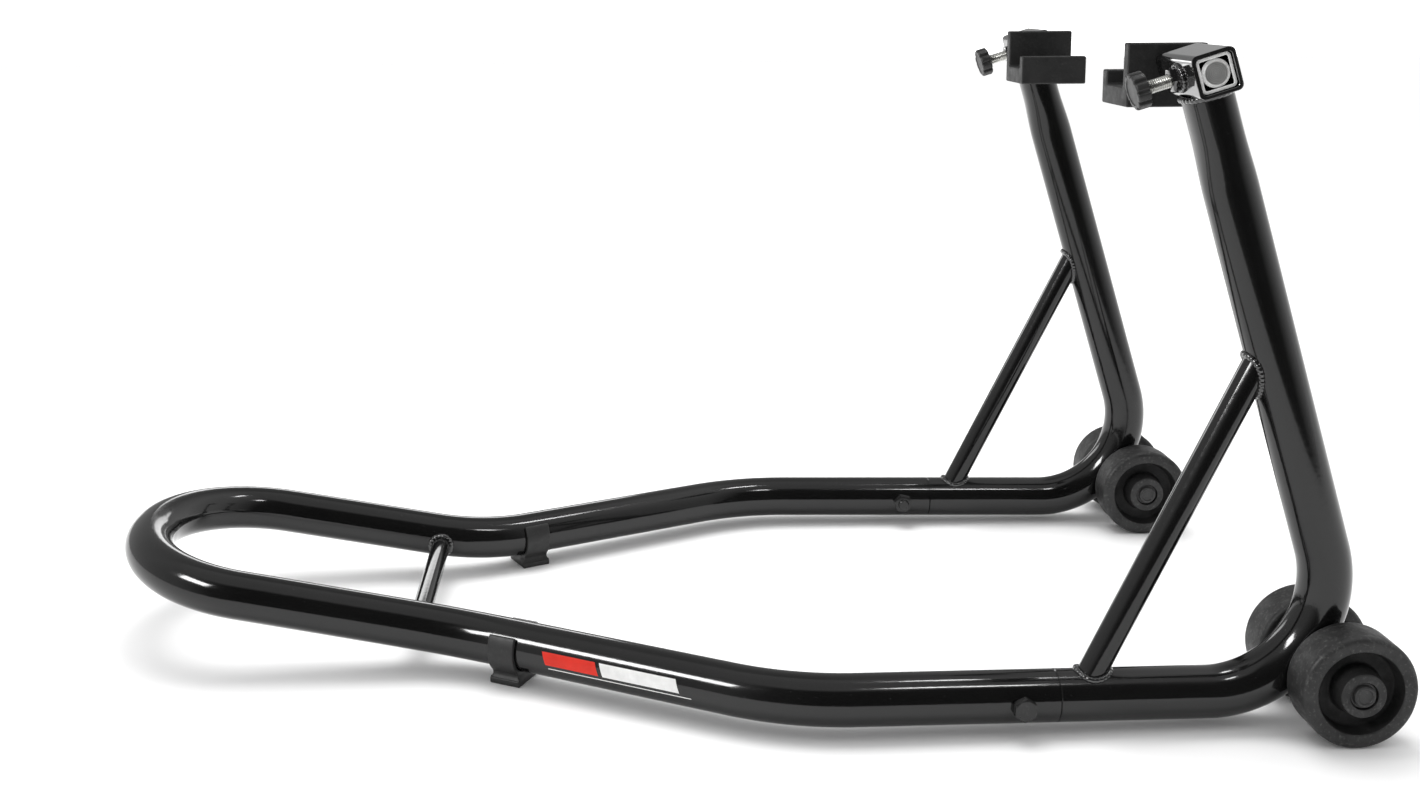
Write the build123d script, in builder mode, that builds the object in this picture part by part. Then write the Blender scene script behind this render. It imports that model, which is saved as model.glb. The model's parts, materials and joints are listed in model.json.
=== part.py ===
from build123d import *

import os
from math import cos, radians, sin, tan

# Motorcycle paddock stand: a U-shaped handle tube bolted to two L-shaped side tubes that carry
# wheels, braces and, on top, sliding and swivelling rests for the swingarm.
# Millimetres. +X runs from the handle to the wheels, +Y to the left, +Z up, floor at Z = 0.
# The left side is modelled and mirrored in the XZ plane.

# ---- driving dimensions ----
overall_length = 820.0
tube_diameter = 32.0
tube_wall = 2.0
side_y = 184.5                      # middle plane of the left upright

wheel_diameter = 70.0
wheel_width = 26.0
wheel_gap = 1.8                     # between the side tube and the wheel's inner face
axle_diameter = 10.0
axle_sleeve_diameter = 18.0

bend_radius = 70.5                  # side tube, on its centreline
lean_angle = 17.0                   # the upright leans back over the handle
corner_ahead = 19.3                 # side tube's corner, ahead of the axle
corner_height = 18.2
upright_length = 399.5              # from that corner to the rest's pivot

seam_behind = 172.0                 # joint of handle and side tube, behind the axle
splay_behind = 334.0                # where the legs, drifting apart and up, turn inwards
splay_y = 193.3
splay_height = 21.3
kink_behind = 542.5                 # where they straighten again and the handle starts to rise
kink_y = 87.6
kink_height = 24.0
tip_y = 83.3
splay_radius = 157.0
kink_radius = 149.0
tip_radius = 82.0
handle_rise = 10.8                  # degrees

crossbar_diameter = 14.0
crossbar_behind = 573.3
crossbar_height = 26.5
brace_diameter = 17.0
brace_wall = 1.5
brace_foot_behind = 156.0
brace_reach = 231.5                 # along the upright, from its corner

pressed_length = 60.0               # top of the upright, narrowed to the sleeve's width
pressed_width = 28.0
pressed_depth = 35.0
pressed_taper = 36.0

rest_sleeve_size = 26.0
rest_sleeve_wall = 2.3
rest_sleeve_length = 50.0
arm_size = 20.8
arm_wall = 1.9
arm_recess = 2.0                    # outer end of the arm inside the sleeve's mouth
arm_reach = 16.6                    # bare arm between sleeve and rest
rest_gap = 0.5
rod_diameter = 16.8
rod_groove_depth = 2.2
pin_diameter = 3.0
pin_play = 0.2

rest_length = 49.0
rest_offset = 4.2                   # rest's middle, behind its pivot
rest_wall = 8.5
rest_floor = 12.0
rest_channel = 30.0
rest_height = 39.0
rest_low_height = 21.0
rest_above_pivot = 15.0
bracket_thickness = 4.0

clamp_diameter = 8.0
clamp_pitch = 1.25
hex_width = 13.0                    # across flats, both hexagon sizes
nut_height = 6.5
bolt_head_height = 5.3
knob_diameter = 22.0
knob_thickness = 9.0
knob_flutes = 10
knob_standoff = 13.5                # bare screw between nut and knob
screw_play = 0.2                    # screw tip to arm
thread_clearance = 0.05

clip_run = 354.5                    # along the handle tube, from its joint
clip_thickness = 2.7
clip_play = 0.3
clip_width = 19.0
clip_overlap = 35.0                 # degrees above the tube's middle, each side
clip_neck_width = 17.0
pad_length = 22.0
pad_width = 27.0
pad_thickness = 4.2

bolt_diameter = 8.0
bolt_behind_seam = 23.4
bolt_end = 3.0                      # screw tip beyond its nut
spigot_in_side = 45.0
spigot_in_handle = 55.0
spigot_wall = 2.0
spigot_clearance = 0.1
hole_clearance = 0.2

# ---- derived places ----
tube_radius = tube_diameter / 2
tube_bore = tube_radius - tube_wall
wheel_radius = wheel_diameter / 2
axle_x = overall_length / 2 - wheel_radius
lean = radians(lean_angle)
upright_up = Vector(-sin(lean), 0, cos(lean))
upright_across = Vector(cos(lean), 0, sin(lean))
corner = Vector(axle_x + corner_ahead, side_y, corner_height)
splay = Vector(axle_x - splay_behind, splay_y, splay_height)
kink = Vector(axle_x - kink_behind, kink_y, kink_height)
tip_x = tube_radius - overall_length / 2
tip = Vector(tip_x, tip_y, kink.Z + (kink.X - tip_x) * tan(radians(handle_rise)))
leg_back = (splay - corner).normalized()
leg_outward = Vector(leg_back.Y, -leg_back.X, 0).normalized()
pivot = corner + upright_up * upright_length
sleeve_bottom = upright_length - rest_sleeve_size / 2
rest_outer_y = side_y - rest_sleeve_length / 2 - arm_reach - rest_gap


def on_leg(behind):
    """Point on the leg's centreline, at a distance behind the axle."""
    return corner + leg_back * ((axle_x - behind - corner.X) / leg_back.X)


def bolt_plane(offset):
    """Plane square to the joint bolt, offset outboard from the leg's middle, facing outboard."""
    return Plane(bolt_point + leg_outward * offset, x_dir=leg_back, z_dir=leg_outward)


def along_upright(distance):
    """Section plane of the upright, its X across the tube in the side view."""
    return Plane(corner + upright_up * distance, x_dir=upright_across, z_dir=upright_up)


def facing_inward(point):
    """Plane whose normal points to the stand's middle, turned with the leaning upright."""
    return Plane(point, x_dir=upright_across, z_dir=(0, -1, 0))


def clamp_plane(distance):
    """Plane square to the clamp screw, at a distance from the rest's pivot towards the knob."""
    return Plane(pivot - upright_across * distance, x_dir=(0, 1, 0), z_dir=-upright_across)


def save(piece, name):
    piece.part.label = name
    export_step(piece.part, f"parts/{name}.step")


def save_pair(piece, name):
    """Write a left-hand piece and its mirror image."""
    save(piece, f"left_{name}")
    with BuildPart() as opposite:
        mirror(piece.part, about=Plane.XZ)
    save(opposite, f"right_{name}")


def save_both(piece, name):
    """Write a small piece and its mirror image as two solids of one node."""
    with BuildPart() as both:
        add(piece.part)
        mirror(piece.part, about=Plane.XZ)
    save(both, name)


def swept_tube(path, radius):
    """Solid of a round section swept along a path."""
    with BuildPart() as tube:
        with BuildSketch(Plane(path @ 0, z_dir=path % 0)):
            Circle(radius)
        sweep(path=path)
    return tube.part


os.makedirs("parts", exist_ok=True)

# ---- handle tube ----
seam = on_leg(seam_behind)
left_corners = [seam, splay, kink, tip]
right_corners = [Vector(point.X, -point.Y, point.Z) for point in reversed(left_corners)]
with BuildLine() as handle_path:
    FilletPolyline(
        *left_corners,
        *right_corners,
        radius=[splay_radius, kink_radius, tip_radius, tip_radius, kink_radius, splay_radius],
    )
handle_outside = swept_tube(handle_path.wire(), tube_radius)
handle_inside = swept_tube(handle_path.wire(), tube_bore)

bolt_point = on_leg(seam_behind + bolt_behind_seam)
with BuildPart() as joint_bolt_holes:
    with BuildSketch(bolt_plane(0)):
        Circle(bolt_diameter / 2 + hole_clearance)
    extrude(amount=tube_diameter, both=True)
    mirror(about=Plane.XZ)

with BuildPart() as handle_tube:
    add(handle_outside)
    add(handle_inside, mode=Mode.SUBTRACT)
    add(joint_bolt_holes.part, mode=Mode.SUBTRACT)
save(handle_tube, "handle_tube")

with BuildPart() as crossbar:
    crossbar_x = axle_x - crossbar_behind
    with BuildSketch(Plane.XZ):
        with Locations((crossbar_x, crossbar_height)):
            Circle(crossbar_diameter / 2)
    extrude(amount=kink_y, both=True)
    add(handle_outside, mode=Mode.SUBTRACT)
save(crossbar, "handle_crossbar")

# ---- side tube: base leg, bend and upright with a pressed top ----
with BuildLine() as side_path:
    FilletPolyline(
        seam,
        corner,
        corner + upright_up * (sleeve_bottom - pressed_length),
        radius=bend_radius,
    )


def pressed_top(inset):
    """Round-to-oval taper and the oval length above it, smaller by the inset all round."""
    start = sleeve_bottom - pressed_length
    with BuildPart() as top:
        with BuildSketch(along_upright(start)):
            Circle(tube_radius - inset)
        with BuildSketch(along_upright(start + pressed_taper)):
            Ellipse(pressed_width / 2 - inset, pressed_depth / 2 - inset)
        loft()
        with BuildSketch(along_upright(start + pressed_taper)):
            Ellipse(pressed_width / 2 - inset, pressed_depth / 2 - inset)
        extrude(amount=pressed_length - pressed_taper)
    return top.part


with BuildPart() as side_outside:
    add(swept_tube(side_path.wire(), tube_radius))
    add(pressed_top(0))

with BuildPart() as side_tube:
    add(side_outside.part)
    add(swept_tube(side_path.wire(), tube_bore), mode=Mode.SUBTRACT)
    add(pressed_top(tube_wall), mode=Mode.SUBTRACT)
save_pair(side_tube, "side_tube")

with BuildPart() as joint_spigot:
    with BuildSketch(Plane(seam + leg_back * spigot_in_handle, z_dir=-leg_back)):
        Circle(tube_bore - spigot_clearance)
        Circle(tube_bore - spigot_clearance - spigot_wall, mode=Mode.SUBTRACT)
    extrude(amount=spigot_in_handle + spigot_in_side)
    add(joint_bolt_holes.part, mode=Mode.SUBTRACT)
save_pair(joint_spigot, "joint_spigot")

# ---- joint bolt with its head outboard, nut inboard ----
with BuildPart() as joint_bolt:
    with BuildSketch(bolt_plane(tube_radius)):
        RegularPolygon(hex_width / 2, 6, major_radius=False)
    extrude(amount=bolt_head_height)
    chamfer(joint_bolt.faces().sort_by(Axis(bolt_point, leg_outward))[-1].edges(), length=0.6)
    with BuildSketch(bolt_plane(tube_radius)):
        Circle(bolt_diameter / 2)
    extrude(amount=-(tube_diameter + nut_height + bolt_end))
save_both(joint_bolt, "joint_bolts")

with BuildPart() as joint_nut:
    with BuildSketch(bolt_plane(-tube_radius)):
        RegularPolygon(hex_width / 2, 6, major_radius=False)
        Circle(bolt_diameter / 2, mode=Mode.SUBTRACT)
    extrude(amount=-nut_height)
save_both(joint_nut, "joint_nuts")

# ---- brace between base leg and upright ----
with BuildPart() as brace:
    brace_foot = on_leg(brace_foot_behind)
    brace_head = corner + upright_up * brace_reach
    with BuildLine() as brace_line:
        Line(brace_foot, brace_head)
    with BuildSketch(Plane(brace_foot, z_dir=brace_head - brace_foot)):
        Circle(brace_diameter / 2)
        Circle(brace_diameter / 2 - brace_wall, mode=Mode.SUBTRACT)
    sweep(path=brace_line.wire())
    add(side_outside.part, mode=Mode.SUBTRACT)
save_pair(brace, "brace")

# ---- axle sleeve, axle, washers and caps ----
sleeve_half = tube_radius - 0.5
washer_thickness = 1.0
hub_inner = sleeve_half + washer_thickness + 0.3
hub_proud = 3.0
hub_outer = tube_radius + wheel_gap + wheel_width + hub_proud
cap_seat_depth = 3.0
cap_play = 0.3
axle_half = hub_outer + 0.5


def on_axle(offset):
    """Plane square to the axle, offset outboard from the side tube's middle, facing outboard."""
    return Plane((axle_x, side_y + offset, wheel_radius), x_dir=(1, 0, 0), z_dir=(0, 1, 0))


with BuildPart() as axle_sleeve:
    with BuildSketch(on_axle(0)):
        Circle(axle_sleeve_diameter / 2)
        Circle(axle_diameter / 2, mode=Mode.SUBTRACT)
    extrude(amount=sleeve_half, both=True)
    add(side_outside.part, mode=Mode.SUBTRACT)
save_pair(axle_sleeve, "axle_sleeve")

with BuildPart() as axle:
    with BuildSketch(on_axle(0)):
        Circle(axle_diameter / 2)
    extrude(amount=axle_half, both=True)
    chamfer(axle.edges().filter_by(GeomType.CIRCLE), length=0.8)
save_pair(axle, "axle")

with BuildPart() as axle_washers:
    for side in (1, -1):
        with BuildSketch(on_axle(side * sleeve_half)):
            Circle(axle_sleeve_diameter / 2)
            Circle(axle_diameter / 2, mode=Mode.SUBTRACT)
        extrude(amount=side * washer_thickness)
save_both(axle_washers, "axle_washers")

with BuildPart() as axle_caps:
    for side in (1, -1):
        seat = hub_outer - cap_seat_depth + cap_play
        with BuildSketch(on_axle(side * seat)):
            Circle(8.0)
            Circle(axle_diameter / 2, mode=Mode.SUBTRACT)
        extrude(amount=side * 1.2)
        with BuildSketch(on_axle(side * seat)):
            Circle(6.3)
        extrude(amount=side * (hub_outer - seat + 1.6))
        with BuildSketch(on_axle(side * seat)):
            Circle(axle_diameter / 2)
        extrude(amount=side * (axle_half - seat), mode=Mode.SUBTRACT)
    cap_ends = axle_caps.faces().filter_by(Axis.Y).sort_by(Axis.Y)
    chamfer(cap_ends[0].edges() + cap_ends[-1].edges(), length=0.7)
save_both(axle_caps, "axle_caps")

# ---- wheels: rounded tread, deep recess round a tapered hub, both faces alike ----
hub_radius = 13.5
hub_root_radius = 15.5
rim_radius = 26.0
rim_root_radius = 24.3
web_half = 3.0
edge_round = 3.2
cap_seat_radius = 8.5
bearing_clearance = 0.1


def wheel(inner_face):
    """Wheel whose tread starts at the given distance outboard of the side tube's middle."""
    middle = inner_face + wheel_width / 2
    half = wheel_width / 2
    outboard = 1 if inner_face > 0 else -1
    low, high = sorted((outboard * hub_inner - middle, outboard * hub_outer - middle))
    centre = (axle_x, side_y + middle, wheel_radius)
    with BuildPart() as piece:
        with BuildSketch(Plane(centre, x_dir=(0, 0, 1), z_dir=(-1, 0, 0))):
            with BuildLine():
                Polyline(
                    (axle_diameter / 2 + bearing_clearance, low),
                    (hub_radius, low),
                    (hub_root_radius, -web_half),
                    (rim_root_radius, -web_half),
                    (rim_radius, -half),
                    (wheel_radius, -half),
                    (wheel_radius, half),
                    (rim_radius, half),
                    (rim_root_radius, web_half),
                    (hub_root_radius, web_half),
                    (hub_radius, high),
                    (axle_diameter / 2 + bearing_clearance, high),
                    close=True,
                )
            make_face()
        revolve(axis=Axis((axle_x, side_y, wheel_radius), (0, 1, 0)))
    return piece


for label, inner_face in (("outer_wheel", tube_radius + wheel_gap),
                          ("inner_wheel", -tube_radius - wheel_gap - wheel_width)):
    rough = wheel(inner_face)
    outboard = 1 if inner_face > 0 else -1
    with BuildPart() as finished:
        add(rough.part)
        treads = finished.edges().filter_by(GeomType.CIRCLE).sort_by(lambda edge: -edge.radius)[:2]
        fillet(treads, radius=edge_round)
        with BuildSketch(on_axle(outboard * (hub_outer - cap_seat_depth))):
            Circle(cap_seat_radius)
        extrude(amount=outboard * cap_seat_depth, mode=Mode.SUBTRACT)
    save_pair(finished, label)

# ---- square sleeve on the upright, with its welded clamp nut ----
with BuildPart() as rest_sleeve:
    with BuildSketch(facing_inward(pivot)):
        RectangleRounded(rest_sleeve_size, rest_sleeve_size, 3.6)
        sleeve_inside = rest_sleeve_size - 2 * rest_sleeve_wall
        RectangleRounded(sleeve_inside, sleeve_inside, 2.6, mode=Mode.SUBTRACT)
    extrude(amount=rest_sleeve_length / 2, both=True)
    with BuildSketch(clamp_plane(0)):
        Circle(clamp_diameter / 2 + hole_clearance)
    extrude(amount=rest_sleeve_size, mode=Mode.SUBTRACT)
save_pair(rest_sleeve, "rest_sleeve")

with BuildPart() as clamp_nut:
    with BuildSketch(clamp_plane(rest_sleeve_size / 2)):
        RegularPolygon(hex_width / 2, 6, major_radius=False)
        Circle(clamp_diameter / 2 + thread_clearance, mode=Mode.SUBTRACT)
    extrude(amount=nut_height)
save_pair(clamp_nut, "clamp_nut")

# ---- clamp screw and fluted knob ----
knob_start = rest_sleeve_size / 2 + nut_height + knob_standoff
knob_floor = 2.0
with BuildPart() as clamp_screw:
    with BuildSketch(clamp_plane(arm_size / 2 + screw_play)):
        Circle(clamp_diameter / 2)
    extrude(amount=knob_start + knob_thickness - knob_floor - 0.1 - arm_size / 2 - screw_play)
    chamfer(clamp_screw.edges().filter_by(GeomType.CIRCLE), length=0.6)
save_pair(clamp_screw, "clamp_screw")

with BuildPart() as clamp_knob:
    with BuildSketch(clamp_plane(knob_start)):
        Circle(knob_diameter / 2)
        with PolarLocations(knob_diameter / 2 + 1.1, knob_flutes):
            Circle(2.2, mode=Mode.SUBTRACT)
    extrude(amount=knob_thickness)
    with BuildSketch(clamp_plane(knob_start)):
        Circle(clamp_diameter / 2 + thread_clearance)
    extrude(amount=knob_thickness - knob_floor, mode=Mode.SUBTRACT)
    knob_faces = clamp_knob.faces().filter_by(GeomType.PLANE).sort_by(Axis(pivot, -upright_across))
    chamfer(knob_faces[-1].edges(), length=0.8)
save_pair(clamp_knob, "clamp_knob")

# ---- sliding arm, retaining pin and swivelling rod ----
arm_outer_y = side_y + rest_sleeve_length / 2 - arm_recess
arm_inner_y = rest_outer_y + rest_gap
pin_height = rod_diameter / 2 - rod_groove_depth + pin_play + pin_diameter / 2
pin_plane = Plane(pivot + upright_up * pin_height, x_dir=(0, 1, 0), z_dir=upright_across)

with BuildPart() as arm:
    with BuildSketch(facing_inward(Vector(pivot.X, arm_outer_y, pivot.Z))):
        RectangleRounded(arm_size, arm_size, 2.8)
        arm_inside = arm_size - 2 * arm_wall
        RectangleRounded(arm_inside, arm_inside, 1.2, mode=Mode.SUBTRACT)
    extrude(amount=arm_outer_y - arm_inner_y)
    with BuildSketch(pin_plane):
        Circle(pin_diameter / 2)
    extrude(amount=arm_size, both=True, mode=Mode.SUBTRACT)
save_pair(arm, "rest_arm")

with BuildPart() as pin:
    with BuildSketch(pin_plane):
        Circle(pin_diameter / 2)
    extrude(amount=arm_size / 2 - 0.2, both=True)
save_pair(pin, "rod_pin")

rod_end = Vector(pivot.X, arm_outer_y, pivot.Z)
bracket_face_y = rest_outer_y - (rest_wall - bracket_thickness) / 2
with BuildPart() as rod:
    with BuildSketch(facing_inward(rod_end)):
        Circle(rod_diameter / 2)
    extrude(amount=arm_outer_y - bracket_face_y)
    chamfer(rod.edges().filter_by(GeomType.CIRCLE).sort_by(Axis.Y)[-1], length=0.9)
    with BuildSketch(facing_inward(pivot)):
        Circle(rod_diameter)
        Circle(rod_diameter / 2 - rod_groove_depth, mode=Mode.SUBTRACT)
    extrude(amount=pin_diameter / 2 + pin_play, both=True, mode=Mode.SUBTRACT)
save_pair(rod, "pivot_rod")

# ---- rest: steel channel bracket moulded into a thick cover ----
rest_top = pivot.Z + rest_above_pivot
rest_bottom = rest_top - rest_height
rest_inner_y = rest_outer_y - 2 * rest_wall - rest_channel
rest_front = pivot.X - rest_offset + rest_length / 2
rest_end = Plane.YZ.offset(rest_front)


def channel(wall_inset, floor_inset, end_inset):
    """Outline of the rest's channel section, drawn inside itself by the insets."""
    outer = rest_outer_y - wall_inset
    inner = rest_inner_y + wall_inset
    thickness = rest_wall - 2 * wall_inset
    floor_bottom = rest_bottom + floor_inset
    floor_top = rest_bottom + rest_floor - floor_inset
    with BuildPart() as piece:
        with BuildSketch(rest_end.offset(-end_inset)):
            with BuildLine():
                Polyline(
                    (outer, floor_bottom),
                    (outer, rest_top - end_inset),
                    (outer - thickness, rest_top - end_inset),
                    (outer - thickness, floor_top),
                    (inner + thickness, floor_top),
                    (inner + thickness, rest_bottom + rest_low_height - end_inset),
                    (inner, rest_bottom + rest_low_height - end_inset),
                    (inner, floor_bottom),
                    close=True,
                )
            make_face()
        extrude(amount=-(rest_length - 2 * end_inset))
    return piece


bracket_inset = (rest_wall - bracket_thickness) / 2
bracket = channel(bracket_inset, (rest_floor - bracket_thickness) / 2, 3.0)
save_pair(bracket, "rest_bracket")

with BuildPart() as rest_cover:
    add(channel(0, 0, 0).part)
    fillet(rest_cover.edges(), radius=1.0)
    add(bracket.part, mode=Mode.SUBTRACT)
    with BuildSketch(facing_inward(rod_end)):
        Circle(rod_diameter / 2)
    extrude(amount=arm_outer_y - bracket_face_y, mode=Mode.SUBTRACT)
save_pair(rest_cover, "rest_cover")

# ---- snap-on foot clip under the handle tube ----
handle_wire = handle_path.wire()
clip_point = handle_wire.position_at(clip_run, position_mode=PositionMode.LENGTH)
clip_heading = handle_wire.tangent_at(clip_run, position_mode=PositionMode.LENGTH)
clip_along = Vector(clip_heading.X, clip_heading.Y, 0).normalized()
clip_plane = Plane(clip_point, x_dir=clip_along.rotate(Axis.Z, 90), z_dir=clip_along)
clip_inner = tube_radius + clip_play
clip_outer = clip_inner + clip_thickness
mouth = radians(clip_overlap)
reach = 2 * clip_outer

with BuildPart() as foot_clip:
    with BuildSketch(clip_plane):
        Circle(clip_outer)
        with BuildLine():
            Polyline(
                (0, 0),
                (reach * cos(mouth), reach * sin(mouth)),
                (reach * cos(mouth), reach),
                (-reach * cos(mouth), reach),
                (-reach * cos(mouth), reach * sin(mouth)),
                close=True,
            )
        make_face(mode=Mode.SUBTRACT)
        with Locations((0, pad_thickness / 2 - clip_point.Z / 2)):
            Rectangle(clip_neck_width, clip_point.Z - pad_thickness)
    extrude(amount=clip_width / 2, both=True)
    with BuildSketch(clip_plane):
        with Locations((0, pad_thickness / 2 - clip_point.Z)):
            RectangleRounded(pad_width, pad_thickness, 0.9)
    extrude(amount=pad_length / 2, both=True)
    with BuildSketch(clip_plane):
        Circle(clip_inner)
    extrude(amount=pad_length, both=True, mode=Mode.SUBTRACT)
save_pair(foot_clip, "foot_clip")
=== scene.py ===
import json
from math import ceil, copysign, cos, pi, radians, sin, sqrt, tan

import bmesh
import bpy
from mathutils import Matrix, Vector, noise
from mathutils.bvhtree import BVHTree


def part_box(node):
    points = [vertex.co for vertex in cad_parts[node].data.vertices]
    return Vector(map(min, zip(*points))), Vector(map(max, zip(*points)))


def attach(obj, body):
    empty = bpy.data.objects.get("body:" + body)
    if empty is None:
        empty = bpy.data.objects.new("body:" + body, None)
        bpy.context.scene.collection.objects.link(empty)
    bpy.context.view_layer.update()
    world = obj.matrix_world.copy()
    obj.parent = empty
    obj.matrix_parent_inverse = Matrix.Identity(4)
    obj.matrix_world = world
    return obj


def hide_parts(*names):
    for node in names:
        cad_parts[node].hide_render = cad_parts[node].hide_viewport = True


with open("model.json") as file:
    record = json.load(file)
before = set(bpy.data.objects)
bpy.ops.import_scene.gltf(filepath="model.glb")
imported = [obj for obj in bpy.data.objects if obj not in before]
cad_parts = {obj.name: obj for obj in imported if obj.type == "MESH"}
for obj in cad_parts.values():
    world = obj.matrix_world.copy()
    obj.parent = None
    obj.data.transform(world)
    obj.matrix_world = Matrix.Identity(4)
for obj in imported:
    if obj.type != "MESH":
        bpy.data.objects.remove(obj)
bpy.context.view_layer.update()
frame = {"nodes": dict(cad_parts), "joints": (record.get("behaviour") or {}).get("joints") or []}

MM = 0.001

# ================================ places taken from the frame


def middle(node):
    low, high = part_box(node)
    return (Vector(low) + Vector(high)) / 2


JOINTS = {joint["name"]: joint for joint in frame["joints"]}
WHEEL_CENTRE = Vector(JOINTS["left_outer_wheel_spin"]["pos_m"])
PIVOT = Vector(JOINTS["left_rest_swivel"]["pos_m"])
SIDE_Y = middle("left_axle_sleeve").y
AXLE = Vector((WHEEL_CENTRE.x, SIDE_Y, WHEEL_CENTRE.z))
TUBE_R = 16 * MM
WALL = 2 * MM
TIP_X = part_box("handle_tube")[0][0] + TUBE_R
ACROSS = -Vector(JOINTS["left_screw_feed"]["axis"]).normalized()    # across the leaning upright
UP = Vector((-ACROSS.z, 0, ACROSS.x))                                # along the upright
SIDEWAYS = Vector((0, 1, 0))
SIDES = (("left", 1), ("right", -1))

CORNER = Vector((AXLE.x + 19.3 * MM, SIDE_Y, 18.2 * MM))
BEND_R = 70.5 * MM
SLEEVE_SIZE = 26 * MM
SLEEVE_LENGTH = 50 * MM
SLEEVE_BOTTOM = (PIVOT - CORNER).length - SLEEVE_SIZE / 2

SPLAY = Vector((AXLE.x - 334 * MM, 193.3 * MM, 21.3 * MM))
KINK = Vector((AXLE.x - 542.5 * MM, 87.6 * MM, 24 * MM))
HANDLE_RISE = radians(10.8)
TIP = Vector((TIP_X, 83.3 * MM, KINK.z + (KINK.x - TIP_X) * tan(HANDLE_RISE)))
HANDLE_RADII = (157 * MM, 149 * MM, 82 * MM)
LEG_BACK = (SPLAY - CORNER).normalized()
LEG_OUT = Vector((LEG_BACK.y, -LEG_BACK.x, 0)).normalized()


def on_leg(behind):
    """Point on the left leg's centreline, at a distance behind the axle."""
    return CORNER + LEG_BACK * ((AXLE.x - behind - CORNER.x) / LEG_BACK.x)


SEAM = on_leg(172.0 * MM)
BOLT = on_leg(195.4 * MM)

# M8 screws, bolts and nuts
THREAD_R = 4.0 * MM
THREAD_PITCH = 1.25 * MM
HEX = 13 * MM
NUT_HEIGHT = 6.5 * MM


def sided(vector, sign):
    """The same point or direction on the left side (sign 1) or the right side (sign -1)."""
    return Vector((vector.x, vector.y * sign, vector.z))


# ================================ materials


class NodeTree:
    """Helpers that add linked nodes to the node tree of a material or world."""

    def __init__(self, tree):
        self.nodes = tree.nodes
        self.links = tree.links

    def node(self, kind, *sources, **settings):
        """A new node with these settings, its first inputs linked from the sources."""
        made = self.nodes.new(kind)
        for key, value in settings.items():
            setattr(made, key, value)
        for source, socket in zip(sources, made.inputs):
            self.links.new(source, socket)
        return made

    def ramp(self, value, *stops):
        """Colour ramp through (position, shade) stops; a shade is a grey level or a colour."""
        made = self.node("ShaderNodeValToRGB", value)
        elements = made.color_ramp.elements
        while len(elements) < len(stops):
            elements.new(0.5)
        for element, (position, colour) in zip(elements, stops):
            element.position = position
            shade = (colour, colour, colour) if isinstance(colour, (int, float)) else colour
            element.color = (*shade, 1)
        return made.outputs["Color"]

    def mix(self, factor, first, second):
        """Blend of two colours; each value is a socket, a grey level or a colour."""
        made = self.node("ShaderNodeMix", data_type="RGBA")
        colours = [socket for socket in made.inputs if socket.type == "RGBA"]
        for socket, value in zip((made.inputs[0], *colours), (factor, first, second)):
            if isinstance(value, (int, float)):
                socket.default_value = value if socket.type == "VALUE" else (value, value, value, 1)
            elif isinstance(value, tuple):
                socket.default_value = (*value, 1)
            else:
                self.links.new(value, socket)
        return [socket for socket in made.outputs if socket.type == "RGBA"][0]


class Shader(NodeTree):
    """A material with its Principled shader, textured in the object's own coordinates."""

    def __init__(self, name, **sockets):
        self.material = bpy.data.materials.new(name)
        self.material.use_nodes = True
        super().__init__(self.material.node_tree)
        self.principled = self.nodes["Principled BSDF"]
        for socket, value in sockets.items():
            self.principled.inputs[socket.replace("_", " ")].default_value = value
        self.place = self.node("ShaderNodeTexCoord").outputs["Object"]

    def stretched(self, scale, turn=(0, 0, 0)):
        mapping = self.node("ShaderNodeMapping", self.place)
        mapping.inputs["Scale"].default_value = scale
        mapping.inputs["Rotation"].default_value = turn
        return mapping.outputs["Vector"]

    def noise(self, scale, detail=3, roughness=0.5, distortion=0.0, vector=None):
        made = self.node("ShaderNodeTexNoise", vector or self.place)
        made.inputs["Scale"].default_value = scale
        made.inputs["Detail"].default_value = detail
        made.inputs["Roughness"].default_value = roughness
        made.inputs["Distortion"].default_value = distortion
        return made.outputs["Fac"]

    def add(self, first, second, weight):
        """The first value plus the weighted second one."""
        made = self.node("ShaderNodeMath", operation="MULTIPLY_ADD")
        self.links.new(second, made.inputs[0])
        made.inputs[1].default_value = weight
        self.links.new(first, made.inputs[2])
        return made.outputs[0]

    def colour(self, value):
        self.links.new(value, self.principled.inputs["Base Color"])

    def rough(self, value):
        self.links.new(value, self.principled.inputs["Roughness"])

    def bump(self, height, strength, distance):
        made = self.node("ShaderNodeBump")
        made.inputs["Strength"].default_value = strength
        made.inputs["Distance"].default_value = distance
        self.links.new(height, made.inputs["Height"])
        self.links.new(made.outputs["Normal"], self.principled.inputs["Normal"])


def powder_coat(name, low, high, coat=0.2, rough=0.1, specular=0.4):
    """Gloss black powder coat: orange peel, faint clouding, pale nibs and hairline scuffs."""
    shader = Shader(name, Coat_Weight=coat, Coat_Roughness=0.03, Specular_IOR_Level=specular)
    cloud = shader.ramp(shader.noise(9, detail=5, roughness=0.6), (0.3, low), (0.75, high))
    nibs = shader.ramp(shader.noise(700, detail=1), (0.76, 0.0), (0.82, 1.0))
    shader.colour(shader.mix(nibs, cloud, (0.035, 0.035, 0.037)))
    run = shader.stretched((1.0, 8.0, 8.0), turn=(0.3, 0.2, 0.5))
    hairlines = shader.noise(45, detail=4, roughness=0.7, distortion=0.4, vector=run)
    shader.rough(shader.ramp(hairlines, (0.35, rough), (0.62, 1.4 * rough), (0.8, 2.6 * rough)))
    orange_peel = shader.noise(240, detail=2, roughness=0.45)
    shader.bump(orange_peel, strength=0.07, distance=0.5 * MM)
    return shader.material


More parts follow.
